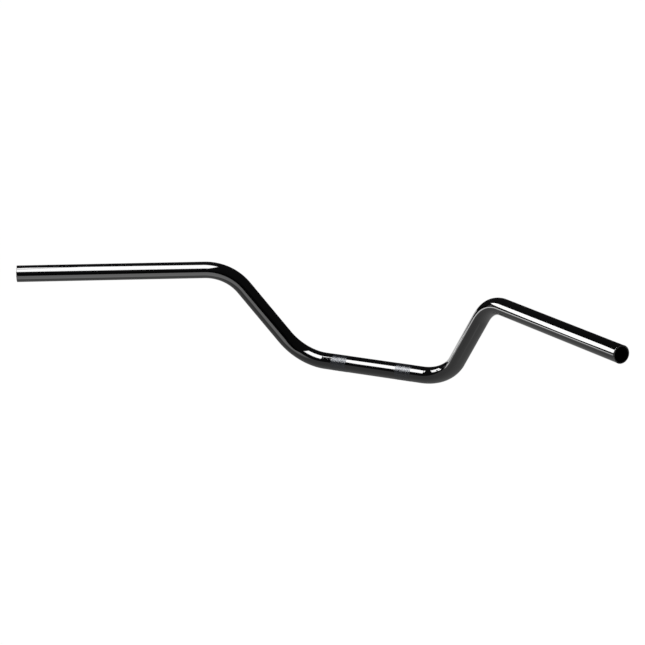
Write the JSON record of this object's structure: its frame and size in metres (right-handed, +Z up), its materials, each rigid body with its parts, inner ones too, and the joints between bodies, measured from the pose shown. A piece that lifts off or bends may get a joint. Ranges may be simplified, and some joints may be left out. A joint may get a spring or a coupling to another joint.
{
  "type": "touring handlebar",
  "caption": "Wide, high-rise, swept-back motorbike handlebar bent from one gloss black steel tube, with knurled bands at the clamps.",
  "frame": {"origin": "middle of the centre straight, on the tube's centreline, where the clamps hold it", "axes": "+X along the clamp axis to the rider's right, +Y forwards, +Z up; the grips sweep back towards -Y"},
  "size_m": [0.8614, 0.2206, 0.1426],
  "materials": {
    "gloss_black": "mirror-gloss black coating over steel"
  },
  "bodies": {
    "root": {"handlebar_tube": "gloss_black"}
  },
  "joints": []
}
